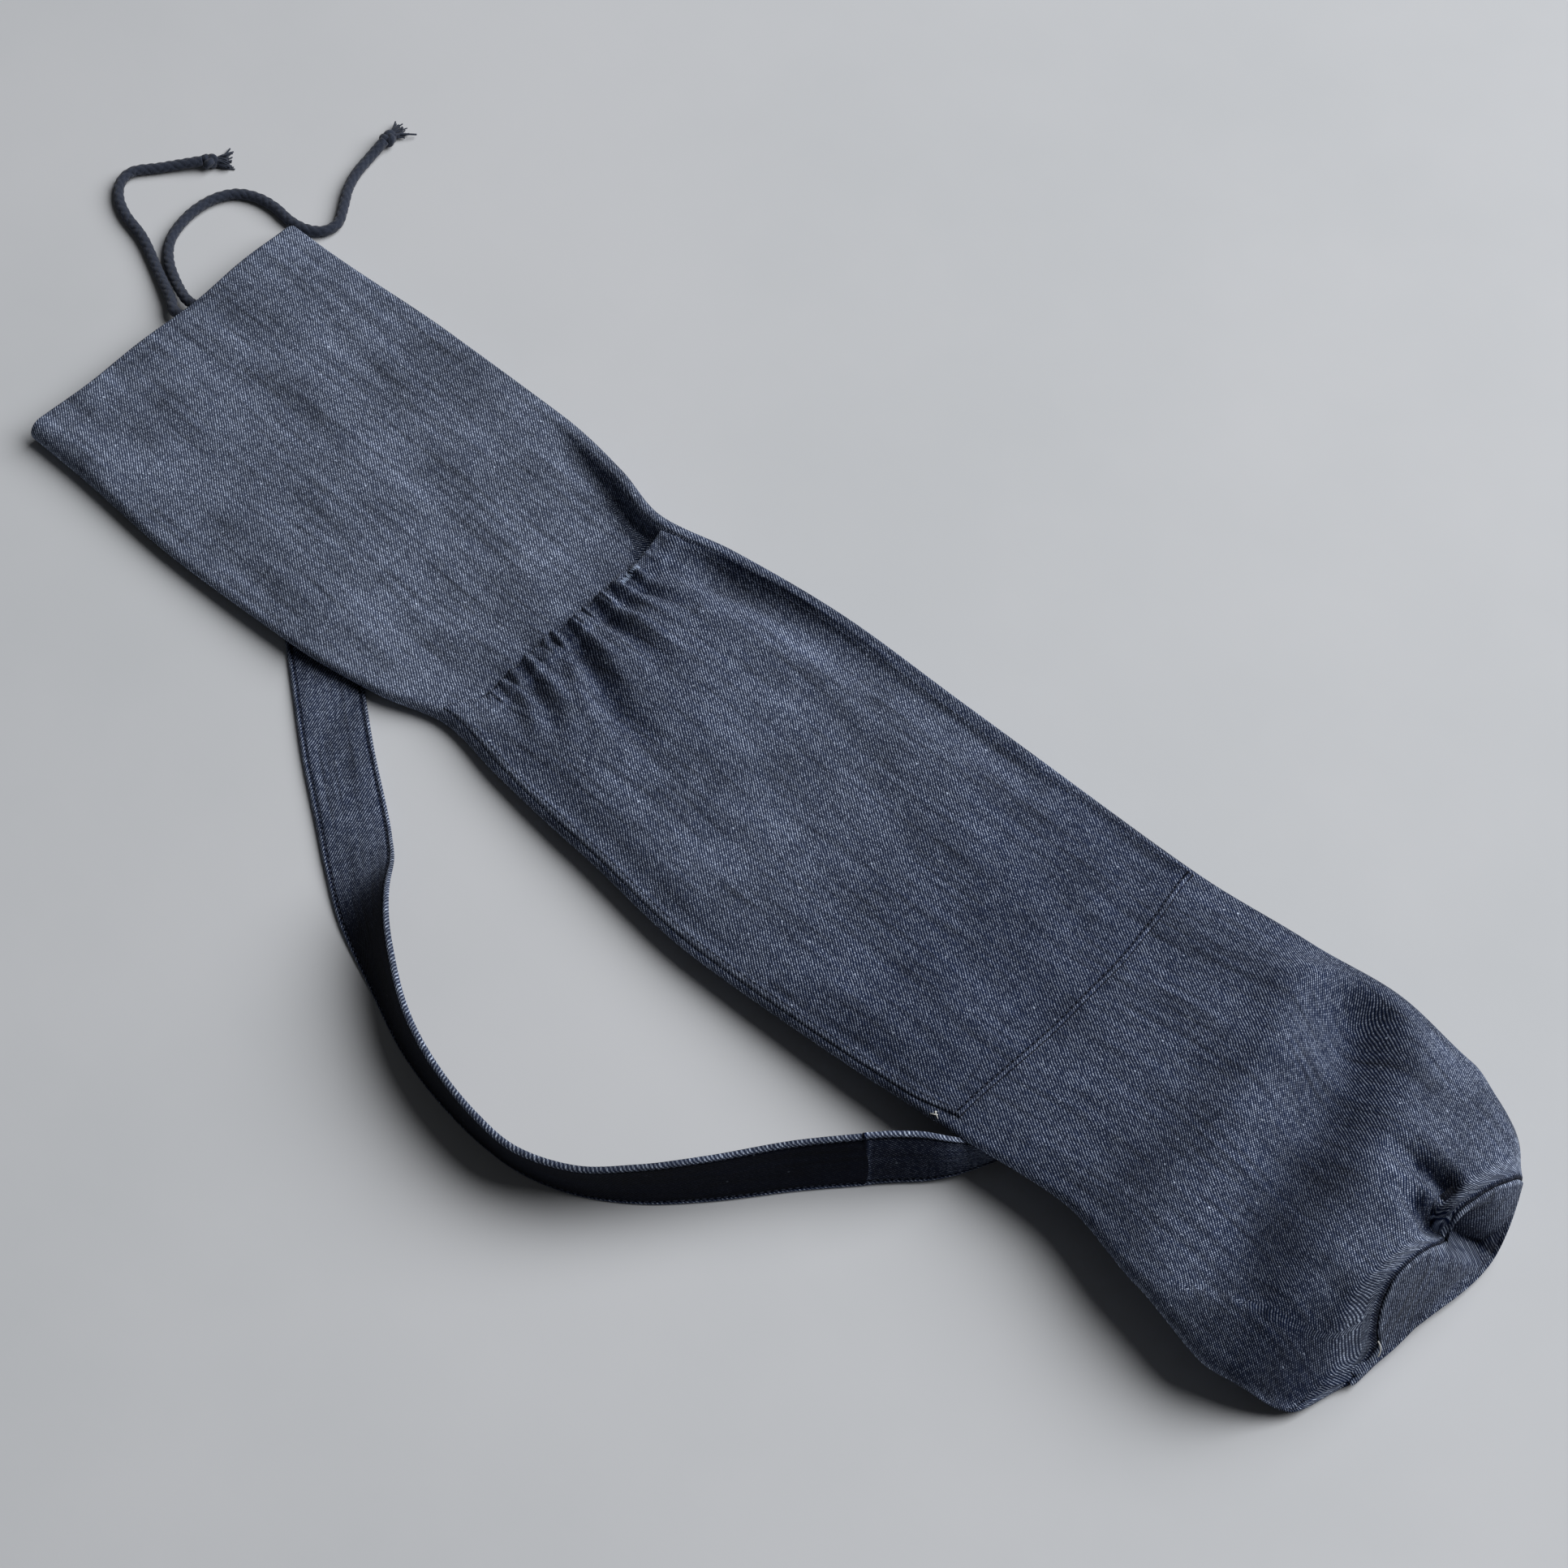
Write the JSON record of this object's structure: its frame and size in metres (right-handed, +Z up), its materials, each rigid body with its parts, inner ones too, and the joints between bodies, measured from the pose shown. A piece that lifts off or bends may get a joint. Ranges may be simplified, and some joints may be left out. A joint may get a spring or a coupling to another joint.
{
  "type": "drawstring mat bag",
  "caption": "Long denim drawstring bag for a rolled exercise mat, lying empty, with a gathered front pocket, a round base and a sewn shoulder strap.",
  "frame": {"origin": "on the floor under the middle of the bag, on the flat of its underside", "axes": "+X along the bag from the mouth to the base, +Y to the side away from the strap, +Z up"},
  "size_m": [0.906, 0.4117, 0.064],
  "materials": {
    "denim": "washed blue-grey twill, matt",
    "cord": "dark navy braided cotton, matt",
    "elastic": "woven elastic, matt"
  },
  "bodies": {
    "root": {"body_panel": "denim", "base_disc": "denim", "pocket_panel": "denim", "pocket_elastic": "elastic", "strap_long": "denim", "strap_tab": "denim", "drawstring_in_hem": "cord", "drawstring_short_end": "cord", "drawstring_long_end": "cord", "knot_short_end": "cord", "knot_long_end": "cord"}
  },
  "joints": []
}
